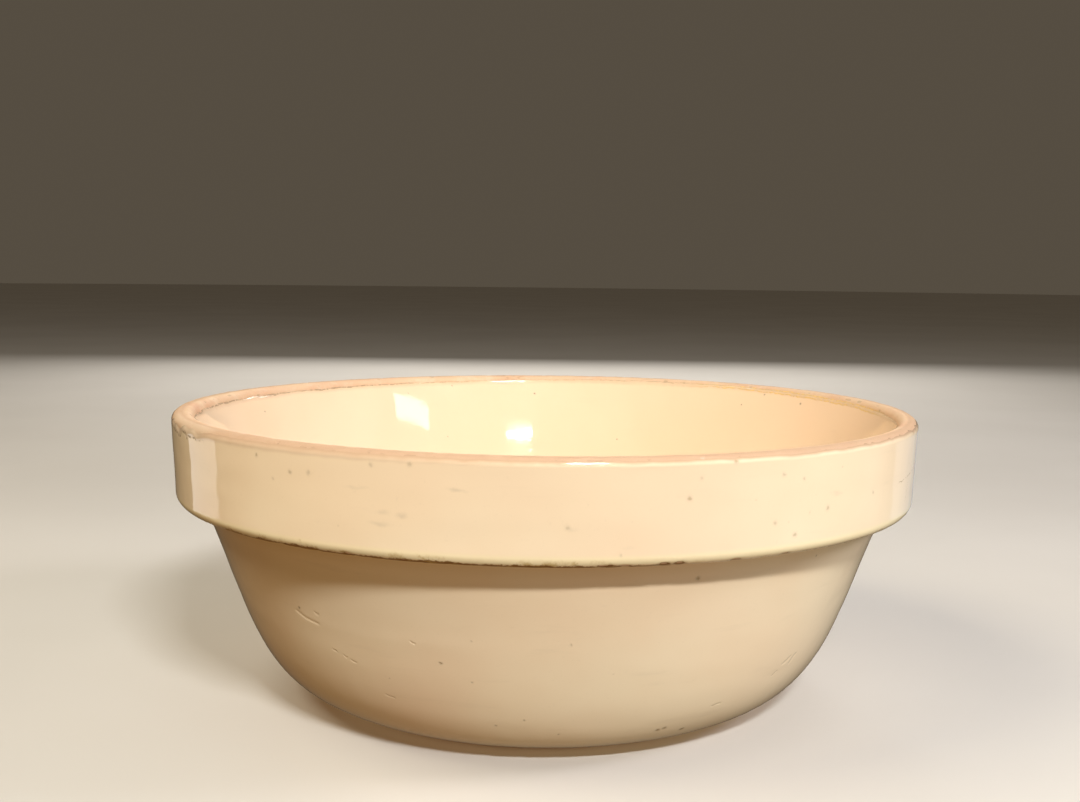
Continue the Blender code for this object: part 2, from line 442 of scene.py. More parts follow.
def arris_chips(run, azimuth):
    """Small bites out of the glaze along the collar's lower edge, deepest at their middle."""
    random = np.random.default_rng(12)
    depth = np.zeros(run.shape)
    for _ in range(ARRIS_CHIP_COUNT):
        centre = math.radians(random.normal(-20, 45))
        along = ARRIS + random.normal(-0.0006, 0.0005)
        size = random.uniform(0.0006, 0.0014)
        across = (azimuth - centre) * CLAY_RIM_RADIUS / random.uniform(1.0, 2.2)
        away = np.hypot(across, run - along) / size
        depth = np.maximum(depth, np.clip(1 - away**2, 0, 1))
    return depth


def groove(points):
    """Depth of the short bent groove in the wall, from 0 to 1."""
    ends = [np.array(point_at(azimuth, height)) for azimuth, height in GROOVE_PATH]
    depth = np.zeros(points.shape[:-1])
    for start, end in zip(ends, ends[1:]):
        along = end - start
        share = np.clip((points - start) @ along / (along @ along), 0, 1)
        away = np.linalg.norm(points - start - share[..., None] * along, axis=-1)
        depth = np.maximum(depth, np.exp(-(away / GROOVE_HALF_WIDTH) ** 2))
    return depth


def rim_chips(azimuth):
    """How far the outer glaze has flaked back from its top edge."""
    left = facing(azimuth, *LEFT_CHIPS) * np.clip(ring_noise(azimuth, 16, 21) + 0.35, 0, 1)
    right = 0.4 * facing(azimuth, *RIGHT_CHIPS) * np.clip(ring_noise(azimuth, 40, 22) + 0.2, 0, 1)
    return LEFT_CHIP_REACH * left + RIGHT_CHIP_REACH * right


def make_outer_glaze():
    """The coat outside, over the collar, its underside and the wall."""
    start, end = GLAZE_START, START["foot_outer"]
    breaks = [start, start + EDGE_ZONE, START["lower"], START["ledge"], START["fillet"],
              START["wall"], run_at(GROOVE_TOP), run_at(GROOVE_BOTTOM), end - EDGE_ZONE, end]
    spacings = [0.0004, 0.0014, 0.00045, 0.0014, 0.0009, 0.0024, 0.0004, 0.0024, 0.0006]
    run, azimuth = grid(graded_rows(breaks, spacings))
    top = wandering(azimuth, OUTER_EDGE_WAVES) + rim_chips(azimuth)
    foot = wandering(azimuth, FOOT_EDGE_WAVES)
    near_top = fade(run - start, TOP_EDGE_FADE)
    near_foot = fade(end - run, EDGE_FADE)
    run = run + top * near_top + foot * near_foot
    from_top = run - start - top
    from_foot = end + foot - run
    distance = np.minimum(from_top, from_foot)
    clay = turned(run, azimuth)
    chips = arris_chips(run, azimuth)
    lift = coat_lift(clay, feather(from_top) * bead(from_foot))
    lift += turning_marks(clay) * np.clip(distance / EDGE_ZONE, 0, 1)
    lift -= ARRIS_CHIP_DEPTH * chips + GROOVE_DEPTH * groove(clay)
    outer = turned(run, azimuth, lift)

    hidden_breaks = [start, START["face"], START["lower"], START["ledge"], START["wall"], end]
    hidden_rows = graded_rows(hidden_breaks, [0.002, 0.012, 0.0013, 0.004, 0.02])[::-1]
    hidden_run, hidden_azimuth = grid(hidden_rows)
    hidden_run = (hidden_run + top[:1] * fade(hidden_run - start, TOP_EDGE_FADE)
                  + foot[:1] * fade(end - hidden_run, EDGE_FADE))
    hidden = turned(hidden_run, hidden_azimuth, -2 * EMBEDDED)
    far = np.full(hidden_run.shape, FAR)
    none = np.zeros(hidden_run.shape)
    coat = solid("glaze_outside", np.vstack([outer, hidden]), False, {
        "edge_distance": np.vstack([distance, far]),
        "arris_distance": np.vstack([run - ARRIS, far]),
        "chip": np.vstack([chips, none]),
    })
    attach(coat, "root")
    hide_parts("outer_glaze")
    return coat


def make_base_glaze():
    """The coat in the recess under the bowl."""
    edge = START["recess"] + BASE_EDGE_START
    last = START["end"] - COAT_AXIS_GAP
    run, azimuth = grid(graded_rows([edge, edge + BASE_EDGE_FADE, last], [0.0005, 0.004]))
    drift = wandering(azimuth, BASE_EDGE_WAVES)
    run = run + drift * fade(run - edge, BASE_EDGE_FADE)
    distance = run - edge - drift
    outer = turned(run, azimuth, coat_lift(turned(run, azimuth), bead(distance)))
    hidden_rows = graded_rows([edge, edge + EDGE_ZONE, last], [0.001, 0.02])[::-1]
    hidden_run, hidden_azimuth = grid(hidden_rows)
    hidden_run = hidden_run + drift[:1] * fade(hidden_run - edge, BASE_EDGE_FADE)
    hidden = turned(hidden_run, hidden_azimuth, -EMBEDDED)
    far = np.full(hidden_run.shape, FAR)
    coat = solid("glaze_base", np.vstack([hidden, outer]), True,
                 {"edge_distance": np.vstack([far, distance])})
    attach(coat, "root")
    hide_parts("base_glaze")
    return coat


# ---------------- materials

class Graph:
    """A material's node tree, with short calls for the nodes used here."""

    def __init__(self, name):
        self.material = bpy.data.materials.new(name)
        self.material.use_nodes = True
        self.tree = self.material.node_tree
        self.shader = self.tree.nodes["Principled BSDF"]
        self.place = self.node("ShaderNodeTexCoord").outputs["Object"]
        self.ragged_place = self.pushed_about(600, 0.0014)
        self.drifting_place = self.pushed_about(140, 0.0040)

    def node(self, kind, **settings):
        """A new node with its properties set."""
        made = self.tree.nodes.new(kind)
        for key, value in settings.items():
            setattr(made, key, value)
        return made

    def feed(self, socket, value):
        """Links a socket to an output, or sets its value."""
        if isinstance(value, bpy.types.NodeSocket):
            self.tree.links.new(value, socket)
        else:
            socket.default_value = value

    def math(self, operation, first, second=0.0, third=0.0):
        """A Math node's result."""
        made = self.node("ShaderNodeMath", operation=operation)
        for socket, value in zip(made.inputs, (first, second, third)):
            self.feed(socket, value)
        return made.outputs[0]

    def product(self, value, *others):
        """Several values multiplied."""
        for other in others:
            value = self.math("MULTIPLY", value, other)
        return value

    def largest(self, value, *others):
        """The largest of several values."""
        for other in others:
            value = self.math("MAXIMUM", value, other)
        return value

    def vector(self, operation, first, second=(0, 0, 0)):
        """A Vector Math node."""
        made = self.node("ShaderNodeVectorMath", operation=operation)
        self.feed(made.inputs[0], first)
        self.feed(made.inputs[1], second)
        return made

    def attribute(self, name):
        """A number stored on the mesh."""
        return self.node("ShaderNodeAttribute", attribute_name=name).outputs["Fac"]

    def noise(self, scale, detail=2.0, roughness=0.5, stretch=(1, 1, 1), shift=0.0):
        """Noise from 0 to 1 in the object's own coordinates."""
        place = self.vector("MULTIPLY", self.place, stretch).outputs[0]
        place = self.vector("ADD", place, (shift, shift, shift)).outputs[0]
        made = self.node("ShaderNodeTexNoise")
        self.feed(made.inputs["Vector"], place)
        made.inputs["Scale"].default_value = scale
        made.inputs["Detail"].default_value = detail
        made.inputs["Roughness"].default_value = roughness
        return made.outputs["Fac"]

    def pushed_about(self, scale, size):
        """The object's own coordinates pushed about by noise, which roughens outlines."""
        made = self.node("ShaderNodeTexNoise")
        self.feed(made.inputs["Vector"], self.place)
        made.inputs["Scale"].default_value = scale
        centred = self.vector("SUBTRACT", made.outputs["Color"], (0.5, 0.5, 0.5)).outputs[0]
        pushed = self.vector("SCALE", centred)
        pushed.inputs["Scale"].default_value = size
        return self.vector("ADD", self.place, pushed.outputs[0]).outputs[0]

    def between(self, value, low, high, to_low=0.0, to_high=1.0):
        """The value mapped smoothly and clamped from one range to another."""
        made = self.node("ShaderNodeMapRange", interpolation_type="SMOOTHSTEP")
        for socket, number in zip(made.inputs, (value, low, high, to_low, to_high)):
            self.feed(socket, number)
        return made.outputs[0]

    def clamped(self, value):
        """The value clamped from 0 to 1."""
        made = self.node("ShaderNodeClamp")
        self.feed(made.inputs["Value"], value)
        return made.outputs[0]

    def mix(self, factor, first, second):
        """Two colours mixed."""
        made = self.node("ShaderNodeMix", data_type="RGBA")
        self.feed(made.inputs["Factor"], factor)
        self.feed(made.inputs["A"], first)
        self.feed(made.inputs["B"], second)
        return made.outputs["Result"]

    def band(self, value, start, full, fading, end):
        """1 where the value lies in a band, with soft sides."""
        return self.product(self.between(value, start, full),
                            self.between(value, fading, end, 1.0, 0.0))

    def cover(self, colour, mask, strength, top):
        """A colour with another laid over it by a mask, at most at this strength."""
        return self.mix(self.product(mask, strength), colour, top)

    def towards(self, azimuth_degrees, start, full):
        """1 on the side of the bowl that faces an azimuth; start and full are cosines."""
        flat = self.vector("MULTIPLY", self.place, (1, 1, 0)).outputs[0]
        flat = self.vector("NORMALIZE", flat).outputs[0]
        angle = math.radians(azimuth_degrees)
        cosine = self.vector("DOT_PRODUCT", flat, (math.sin(angle), -math.cos(angle), 0))
        return self.between(cosine.outputs["Value"], start, full)

    def spots(self, spots):
        """Soft roundish spots, each (centre, radius, strength)."""
        total = 0.0
        for centre, radius, strength in spots:
            away = self.vector("DISTANCE", self.ragged_place, centre).outputs["Value"]
            spot = self.between(away, 0.2 * radius, radius, strength, 0.0)
            total = self.largest(total, spot)
        return total

    def stroke(self, start, end, half_width):
        """A thin line between two points, 1 along its middle."""
        along = end - start
        offset = self.vector("SUBTRACT", self.ragged_place, start).outputs[0]
        share = self.vector("DOT_PRODUCT", offset, along / along.length_squared).outputs["Value"]
        share = self.clamped(share)
        nearest = self.vector("SCALE", tuple(along))
        self.feed(nearest.inputs["Scale"], share)
        away = self.vector("DISTANCE", offset, nearest.outputs[0]).outputs["Value"]
        return self.between(away, 0.3 * half_width, half_width, 1.0, 0.0)

    def smudge(self, centre, azimuth_degrees, half_length, half_height):
        """A soft level smudge on the collar, 1 in its middle."""
        azimuth = math.radians(azimuth_degrees)
        tangent = Vector((math.cos(azimuth), math.sin(azimuth), 0))
        offset = self.vector("SUBTRACT", self.drifting_place, centre).outputs[0]
        along = self.vector("DOT_PRODUCT", offset, tangent / half_length).outputs["Value"]
        up = self.vector("DOT_PRODUCT", offset, (0, 0, 1 / half_height)).outputs["Value"]
        square = self.math("MULTIPLY_ADD", up, up, self.product(along, along))
        return self.between(self.math("SQRT", square), 0.0, 1.0, 1.0, 0.0)

    def bump(self, height, strength, distance):
        """A Bump node into the shader's normal."""
        made = self.node("ShaderNodeBump")
        self.feed(made.inputs["Height"], height)
        made.inputs["Strength"].default_value = strength
        made.inputs["Distance"].default_value = distance
        self.feed(self.shader.inputs["Normal"], made.outputs[0])


IVORY = (0.88, 0.70, 0.48, 1)
CREAM = (0.91, 0.76, 0.54, 1)
PEACH = (0.87, 0.63, 0.43, 1)
# Pale pooled glaze, also a painted highlight along the collar's lower rounding.
PALE_POOL_AND_HIGHLIGHT = (0.90, 0.78, 0.46, 1)
IRON = (0.40, 0.27, 0.13, 1)
RUST = (0.26, 0.125, 0.025, 1)
GOLD_STAIN = (0.52, 0.33, 0.09, 1)
SMUDGE = (0.62, 0.49, 0.34, 1)
SLIP = (0.76, 0.61, 0.44, 1)
PINHOLE = (0.10, 0.08, 0.06, 1)
BUFF = (0.68, 0.47, 0.30, 1)
SALMON = (0.66, 0.41, 0.26, 1)
# Darker clay for painted shade on the lip and on the glaze's thin top edge.
SHADED_CLAY = (0.53, 0.34, 0.215, 1)
OCHRE = (0.76, 0.51, 0.17, 1)
# A warm painted shade mixed over all of the inside glaze.
INSIDE_PAINTED_SHADE = (0.74, 0.51, 0.35, 1)
CLAY_DARK = (0.34, 0.24, 0.14, 1)

# Specks: azimuth in degrees, height, radius and strength.
COLLAR_SPECKS = (
    (-39, 0.1118, 0.0009, 0.7), (-33, 0.1078, 0.0010, 0.6), (-30, 0.1083, 0.0011, 0.4),
    (-21, 0.1128, 0.0010, 0.4), (-16, 0.1138, 0.0010, 0.5), (2.6, 0.0955, 0.0011, 0.4),
    (17.2, 0.1040, 0.0011, 0.7), (18.6, 0.1103, 0.0010, 0.3), (23.2, 0.1150, 0.0010, 0.9),
    (30.3, 0.1096, 0.0010, 0.5), (33.6, 0.1076, 0.0008, 0.4), (38.3, 0.0965, 0.0011, 0.6),
    (29.3, 0.0940, 0.0010, 0.5), (32.6, 0.0891, 0.0011, 0.6), (48.7, 0.0986, 0.0009, 0.5),
    (-36, 0.1048, 0.0007, 0.3), (35, 0.0959, 0.0006, 0.3), (9, 0.0866, 0.0007, 0.4),
    (152, 0.1028, 0.0011, 0.6), (-170, 0.0968, 0.0010, 0.6), (-118, 0.1088, 0.0010, 0.5),
    (104, 0.0998, 0.0011, 0.5), (178, 0.1093, 0.0009, 0.4), (-95, 0.0933, 0.0010, 0.5),
)
# Smears: azimuth in degrees, height, half length, half height and strength.
COLLAR_SMEARS = (
    (-10.3, 0.1063, 0.0050, 0.0011, 0.60), (-23, 0.1052, 0.0070, 0.0011, 0.35),
    (-19.4, 0.0980, 0.0024, 0.0013, 0.45), (-17.2, 0.0976, 0.0030, 0.0016, 0.60),
    (3.2, 0.0953, 0.0028, 0.0013, 0.35), (10, 0.0890, 0.0040, 0.0012, 0.20),
    (160, 0.0940, 0.0060, 0.0014, 0.50), (-140, 0.1010, 0.0050, 0.0012, 0.50),
    (98, 0.0890, 0.0050, 0.0014, 0.45), (-104, 0.0980, 0.0045, 0.0013, 0.40),
)
# Specks on the wall and inside, in the same columns.
WALL_SPECKS = (
    (-15.7, 0.0428, 0.0008, 0.9), (21.4, 0.0746, 0.0010, 0.9), (43.1, 0.0764, 0.0006, 0.6),
    (21.7, 0.0135, 0.0013, 1.0), (22.9, 0.0141, 0.0011, 1.0), (27.4, 0.0116, 0.0013, 1.0),
    (-10.5, 0.0523, 0.0006, 0.5), (-41.0, 0.0548, 0.0007, 0.9), (-11.0, 0.0365, 0.0006, 0.6),
    (4.0, 0.0520, 0.0006, 0.4), (-3.0, 0.0215, 0.0006, 0.6), (-8.0, 0.0185, 0.0007, 0.5),
    (3.0, 0.0150, 0.0006, 0.6), (165.0, 0.0480, 0.0009, 0.8), (-150.0, 0.0610, 0.0008, 0.7),
    (110.0, 0.0340, 0.0008, 0.8), (-100.0, 0.0440, 0.0007, 0.7), (140.0, 0.0250, 0.0009, 0.7),
)
INSIDE_SPECKS = (
    (-160, 0.1120, 0.0006, 0.8), (-178, 0.1076, 0.0008, 0.9), (-112, 0.1065, 0.0007, 0.8),
    (163, 0.0850, 0.0006, 0.7), (-150, 0.1090, 0.0005, 0.6), (130, 0.1130, 0.0007, 0.7),
    (120, 0.1107, 0.0008, 0.8), (135, 0.1070, 0.0006, 0.7), (-158, 0.0860, 0.0005, 0.6),
    (40, 0.0700, 0.0008, 0.8), (-60, 0.0840, 0.0007, 0.7), (5, 0.0500, 0.0008, 0.8),
)
# Dents: azimuth and height of both ends, and half the width.
WALL_MARKS = (
    (-35.6, 0.0412, -35, 0.0408, 0.0004), (-32.2, 0.0383, -31.4, 0.0379, 0.0004),
    (-37.4, 0.0548, -36.8, 0.0543, 0.0005), (-33.5, 0.0398, -33, 0.0392, 0.0004),
    (45.8, 0.0325, 47.3, 0.0345, 0.0007), (48, 0.0318, 48.8, 0.0350, 0.0007),
    (44, 0.0285, 44.9, 0.0300, 0.0004), (-27, 0.0265, -25.6, 0.0258, 0.0004),
    (-20, 0.0500, -19.4, 0.0494, 0.0004),
    (31, 0.0215, 32.6, 0.0222, 0.0004), (150, 0.0500, 153, 0.0470, 0.0005),
    (-165, 0.0330, -163, 0.0340, 0.0005), (-120, 0.0700, -118, 0.0690, 0.0004),
)
# Specks on the lip, in the same columns.
LIP_SPECKS = (
    (14.3, HEIGHT, 0.0018, 0.9), (26.6, HEIGHT, 0.0018, 0.8), (28.2, HEIGHT, 0.0015, 0.6),
)
# Scuffs on the floor inside: x and y of both ends.
SCUFFS = (
    (0.012, -0.030, 0.046, -0.012), (-0.050, 0.020, -0.018, 0.034), (-0.030, -0.048, 0.004, -0.058),
    (0.030, 0.026, 0.052, 0.048), (-0.010, 0.006, 0.022, 0.012), (-0.062, -0.016, -0.046, -0.036),
)
SCUFF_HALF_WIDTH = 0.0009
# The crack: azimuth and height of its fork, and of each end with the half width towards it.
CRACK_FORK = (63.5, 0.0996)
CRACK_ENDS = ((57.5, 0.0986, 0.00022), (70, 0.1021, 0.00028), (62.2, 0.0900, 0.0002))

# A speck's halo and core against its radius, then the lowest and highest roughness.
SPECK_HALO = 1.6
SPECK_CORE = 0.9
GLAZE_ROUGHNESS = (0.03, 0.08)
CLAY_ROUGHNESS = (0.72, 0.92)
FLOOR_ROUGHNESS = 0.6


def glaze_base(graph):
    """Ivory glaze: soft clouds of tone, with faint smears along the turning."""
    clouds = graph.noise(14, 3, 0.5, shift=3.0)
    colour = graph.mix(graph.between(clouds, 0.35, 0.7), IVORY, CREAM)
    warm = graph.noise(9, 2, 0.5, shift=8.0)
    colour = graph.mix(graph.between(warm, 0.42, 0.75, 0.0, 0.6), colour, PEACH)
    smears = graph.noise(28, 4, 0.6, stretch=(1, 1, 7), shift=5.0)
    colour = graph.mix(graph.between(smears, 0.58, 0.80, 0.0, 0.14), colour, SMUDGE)
    fine = graph.noise(900, 2, 0.6)
    return graph.mix(graph.between(fine, 0.60, 0.8, 0.0, 0.12), colour, SMUDGE)


def scattered_iron(graph, cell, share, size):
    """Random iron specks: small soft dots in some cells of a cell pattern."""
    cells = graph.node("ShaderNodeTexVoronoi", feature="F1")
    graph.feed(cells.inputs["Vector"], graph.ragged_place)
    cells.inputs["Scale"].default_value = 1 / cell
    chosen = graph.node("ShaderNodeSeparateColor")
    graph.feed(chosen.inputs[0], cells.outputs["Color"])
    some = graph.math("LESS_THAN", chosen.outputs[0], share)
    dot = graph.between(cells.outputs["Distance"], 0.2 * size / cell, size / cell, 1.0, 0.0)
    strength = graph.math("MULTIPLY_ADD", chosen.outputs[1], 0.8, 0.2)
    return graph.product(some, dot, strength)


def finish_glaze(graph, colour, relief, dirt=0.0):
    """Gloss, lost under dirt, and the fine ripple shared by all the glaze."""
    graph.feed(graph.shader.inputs["Base Color"], colour)
    dull = graph.noise(60, 4, 0.6, stretch=(1, 1, 3), shift=2.0)
    rough = graph.between(dull, 0.35, 0.75, *GLAZE_ROUGHNESS)
    graph.feed(graph.shader.inputs["Roughness"], graph.math("MULTIPLY_ADD", dirt, 0.8, rough))
    ripple = graph.product(graph.noise(180, 2, 0.5, shift=1.0), 0.06)
    graph.bump(graph.math("ADD", ripple, relief), strength=0.5, distance=0.0006)
    return graph.material


def add_specks(graph, colour, specks, core_colour=IRON, inside=False):
    """Iron specks: a dark core in a soft halo. Gives the new colour and the cores."""
    halo = graph.spots([(point_at(azimuth, height, inside), SPECK_HALO * radius, strength)
                        for azimuth, height, radius, strength in specks])
    core = graph.spots([(point_at(azimuth, height, inside), SPECK_CORE * radius, strength)
                        for azimuth, height, radius, strength in specks])
    colour = graph.cover(colour, halo, 0.5, SMUDGE)
    return graph.cover(colour, core, 0.72, core_colour), core


def add_smears(graph, colour):
    """Faint soft grey smears along the turning, on the collar."""
    total = 0.0
    for azimuth, height, half_length, half_height, strength in COLLAR_SMEARS:
        smear = graph.smudge(point_at(azimuth, height), azimuth, half_length, half_height)
        total = graph.largest(total, graph.product(smear, strength))
    patchy = graph.between(graph.noise(300, 3, 0.6, stretch=(1, 1, 2)), 0.30, 0.60, 0.3, 0.8)
    return graph.cover(colour, total, patchy, SMUDGE)


def add_arris_stain(graph, colour):
    """Thick glaze along the collar's lower edge, lightened by a painted highlight, with a ragged brown
    stain under it.
    """
    along = graph.attribute("arris_distance")
    # Partly pooled glaze and partly painted highlight: a pale band on the rounding above the lower
    # edge.
    pool_and_highlight = graph.band(along, -0.0058, -0.0036, -0.0024, -0.0010)
    colour = graph.cover(colour, pool_and_highlight, 0.55, PALE_POOL_AND_HIGHLIGHT)

    front = graph.towards(-18, 0.76, 0.94)
    patches = graph.between(graph.noise(34, 3, 0.6, shift=6.0), 0.36, 0.66)
    fine = graph.noise(520, 4, 0.7, shift=4.0)
    reach = graph.math("MULTIPLY_ADD", patches, 0.0012, 0.0005)
    reach = graph.math("MULTIPLY_ADD", graph.math("SUBTRACT", fine, 0.5), 0.0034, reach)
    reach = graph.math("MULTIPLY_ADD", front, 0.0012, reach)
    below = graph.between(graph.math("ADD", along, reach), 0.0, 0.0005)
    fades = graph.between(along, 0.0010, 0.0045, 1.0, 0.0)
    strength = graph.math("MULTIPLY_ADD", front, 0.66, 0.30)
    stain = graph.product(below, fades, strength)

    golden = graph.between(graph.math("ADD", along, reach), -0.0022, 0.0)
    mottle = graph.between(graph.noise(150, 4, 0.7, shift=12.0), 0.50, 0.66)
    golden = graph.product(golden, mottle, graph.product(strength, fades))
    colour = graph.cover(colour, golden, 0.7, GOLD_STAIN)
    brown = graph.mix(graph.between(fine, 0.25, 0.55), GOLD_STAIN, RUST)
    colour = graph.mix(stain, colour, brown)

    # A faint gold-brown tint in the corner under the collar.
    corner = graph.band(along, 0.003, 0.008, 0.009, 0.016)
    colour = graph.cover(colour, corner, 0.3, GOLD_STAIN)
    chip = graph.between(graph.attribute("chip"), 0.1, 0.5)
    colour = graph.cover(colour, chip, 0.85, RUST)
    return colour, graph.largest(stain, chip)


def add_flakes(graph, colour):
    """The outer glaze's top edge: thin and clay-coloured, darkened by painted shade that reaches
    further on the left, and chipped on the left.
    """
    edge = graph.attribute("edge_distance")
    # Painted shade as well as thin glaze: the darker clay tint on the top edge reaches further down on
    # the left.
    shade_reach_left = graph.towards(-75, 0.0, 0.9)
    thin_and_shade_reach = graph.math("MULTIPLY_ADD", shade_reach_left, 0.0018, 0.0020)
    thin = graph.between(edge, 0.0006, thin_and_shade_reach, 0.9, 0.0)
    colour = graph.mix(thin, colour, SHADED_CLAY)
    left = graph.towards(-61, 0.986, 0.995)
    reach = graph.product(graph.noise(230, 3, 0.6, shift=14.0), 0.0062)
    away = graph.math("SUBTRACT", edge, reach)
    patch = graph.product(left, graph.between(away, -0.0008, 0.0002, 1.0, 0.0))
    colour = graph.cover(colour, patch, 0.5, SLIP)
    outline = graph.between(graph.math("ABSOLUTE", away), 0.0001, 0.00045, 1.0, 0.0)
    broken = graph.between(graph.noise(400, 3, 0.6, shift=15.0), 0.42, 0.58)
    outline = graph.product(outline, broken, left)
    return graph.cover(colour, outline, 0.75, CLAY_DARK), outline


def add_crack(graph, colour):
    """A short forked hairline crack on the right of the collar."""
    fork = point_at(*CRACK_FORK)
    crack = 0.0
    for azimuth, height, half_width in CRACK_ENDS:
        crack = graph.largest(crack, graph.stroke(fork, point_at(azimuth, height), half_width))
    return graph.cover(colour, crack, 0.6, CLAY_DARK), crack


def wall_relief(graph):
    """Short shallow dents in the wall's glaze."""
    dents = 0.0
    for azimuth, height, end_azimuth, end_height, half_width in WALL_MARKS:
        dent = graph.stroke(point_at(azimuth, height), point_at(end_azimuth, end_height),
                            1.6 * half_width)
        dents = graph.largest(dents, dent)
    return graph.product(dents, -0.35)


def make_outer_material():
    """Glaze outside: iron specks, smears, a stained lower edge with a painted highlight, a chipped top
    edge with painted shade, a crack and dents.
    """
    graph = Graph("ivory_glaze_outside")
    colour = glaze_base(graph)
    iron = scattered_iron(graph, cell=0.011, share=0.30, size=0.0007)
    colour = graph.cover(colour, iron, 0.35, IRON)
    colour = add_smears(graph, colour)
    colour, collar_cores = add_specks(graph, colour, COLLAR_SPECKS)
    colour, wall_cores = add_specks(graph, colour, WALL_SPECKS)
    colour, dirt = add_arris_stain(graph, colour)
    colour, flakes = add_flakes(graph, colour)
    colour, crack = add_crack(graph, colour)
    pits = graph.largest(wall_cores, crack, flakes)
    relief = graph.math("MULTIPLY_ADD", pits, -0.6, wall_relief(graph))
    relief = graph.math("MULTIPLY_ADD", collar_cores, -0.08, relief)
    return finish_glaze(graph, colour, relief, dirt)


def add_edge_line(graph, colour, edge):
    """The dirty line where the inside glaze stops: grey-brown, and doubled and golden on the right."""
    right = graph.towards(119, 0.82, 0.95)
    left = graph.towards(-112, 0.60, 0.90)
    back = graph.towards(172, 0.55, 0.85)
    fine = graph.noise(420, 4, 0.7, shift=9.0)
    drift = graph.math("MULTIPLY_ADD", graph.noise(130, 3, 0.6, shift=16.0), 0.0016, -0.0008)
    place = graph.math("ADD", edge, drift)
    upper = graph.between(graph.math("ABSOLUTE", place), 0.00012, 0.00045, 1.0, 0.0)
    lower = graph.math("ABSOLUTE", graph.math("SUBTRACT", place, 0.0014))
    lower = graph.product(graph.between(lower, 0.0001, 0.00045, 1.0, 0.0), right)
    film = graph.product(graph.between(place, -0.0002, 0.0003), right)
    film = graph.product(film, graph.between(place, 0.0012, 0.0022, 0.18, 0.0))
    broken = graph.between(fine, 0.36, 0.54)
    sides = graph.product(graph.largest(left, right), 0.85)
    strength = graph.largest(graph.product(back, 0.35), sides)
    lines = graph.product(graph.largest(upper, lower), broken)
    stain = graph.largest(graph.product(lines, strength), film)
    golden = graph.mix(graph.between(fine, 0.42, 0.56), GOLD_STAIN, OCHRE)
    return graph.mix(stain, colour, graph.mix(right, CLAY_DARK, golden))


def make_inner_material():
    """Glaze inside: the same glaze under a painted warm shade, with pinholes, the line under the lip
    and spoon scuffs on the floor.
    """
    graph = Graph("ivory_glaze_inside")
    # Painted shade: the same glaze as outside, darkened and warmed all over the inside.
    colour = graph.mix(0.4, glaze_base(graph), INSIDE_PAINTED_SHADE)
    iron = scattered_iron(graph, cell=0.013, share=0.3, size=0.0006)
    colour = graph.cover(colour, iron, 0.40, IRON)
    colour, cores = add_specks(graph, colour, INSIDE_SPECKS, PINHOLE, inside=True)
    scuffs = 0.0
    for x, y, end_x, end_y in SCUFFS:
        scuff = graph.stroke(Vector((x, y, FLOOR_THICKNESS + GLAZE)),
                             Vector((end_x, end_y, FLOOR_THICKNESS + GLAZE)), SCUFF_HALF_WIDTH)
        scuffs = graph.largest(scuffs, scuff)
    worn = graph.between(graph.noise(300, 4, 0.7, shift=11.0), 0.40, 0.62)
    colour = graph.cover(colour, graph.product(scuffs, worn), 0.35, SMUDGE)
    edge = graph.attribute("edge_distance")
    colour = graph.mix(graph.between(edge, 0.0002, 0.0026, 0.6, 0.0), colour, BUFF)
    colour = add_edge_line(graph, colour, edge)
    return finish_glaze(graph, colour, graph.product(cores, -0.5))


def make_base_material():
    """Glaze in the recess under the bowl, duller and more worn."""
    graph = Graph("ivory_glaze_base")
    colour = glaze_base(graph)
    iron = scattered_iron(graph, cell=0.012, share=0.5, size=0.0009)
    colour = graph.cover(colour, iron, 0.5, IRON)
    edge = graph.attribute("edge_distance")
    grime = graph.product(graph.between(edge, 0.0, 0.006, 1.0, 0.0),
                          graph.between(graph.noise(90, 4, 0.6), 0.4, 0.7))
    colour = graph.cover(colour, grime, 0.6, GOLD_STAIN)
    return finish_glaze(graph, colour, 0.0)


def make_clay_material():
    """Bare fired clay: matt, grainy buff with salmon blotches, worn stains on the lip and foot, and
    painted shade on the lip's outer half.
    """
    graph = Graph("bare_stoneware")
    blotch = graph.between(graph.noise(45, 4, 0.6), 0.40, 0.72)
    colour = graph.mix(blotch, BUFF, SALMON)
    pale = graph.noise(90, 3, 0.6, shift=7.0)
    colour = graph.mix(graph.between(pale, 0.48, 0.70, 0.0, 0.40), colour, SLIP)
    grain = graph.noise(1600, 3, 0.7, shift=2.0)
    colour = graph.mix(graph.between(grain, 0.54, 0.78, 0.0, 0.22), colour, CLAY_DARK)
    iron = scattered_iron(graph, cell=0.009, share=0.25, size=0.0005)
    colour = graph.cover(colour, iron, 0.55, IRON)
    pits = graph.between(graph.attribute("pit"), 0.02, 0.14)
    colour = graph.cover(colour, pits, 0.45, CLAY_DARK)

    across = graph.attribute("lip_run")
    # Painted shade: the outer half of the lip is darkened all round.
    shaded_outer_half = graph.band(across, 0.0046, 0.0066, 0.010, 0.012)
    colour = graph.cover(colour, shaded_outer_half, 0.8, SHADED_CLAY)
    chipped = graph.product(graph.towards(-61, 0.975, 0.992), graph.between(across, 0.006, 0.008))
    colour = graph.cover(colour, chipped, 0.35, SLIP)
    colour = add_edge_line(graph, colour, graph.attribute("edge_distance"))
    colour, _ = add_specks(graph, colour, LIP_SPECKS, CLAY_DARK, inside=True)
    foot = graph.product(graph.between(across, 0.05, 0.06),
                         graph.between(graph.noise(70, 4, 0.6, shift=3.0), 0.3, 0.7, 0.2, 0.75))
    colour = graph.mix(foot, colour, CLAY_DARK)

    graph.feed(graph.shader.inputs["Base Color"], colour)
    graph.feed(graph.shader.inputs["Roughness"], graph.between(grain, 0.3, 0.7, *CLAY_ROUGHNESS))
    height = graph.math("MULTIPLY_ADD", graph.noise(500, 3, 0.6), 0.6, grain)
    graph.bump(height, strength=0.35, distance=0.0003)
    return graph.material


# ---------------- stage

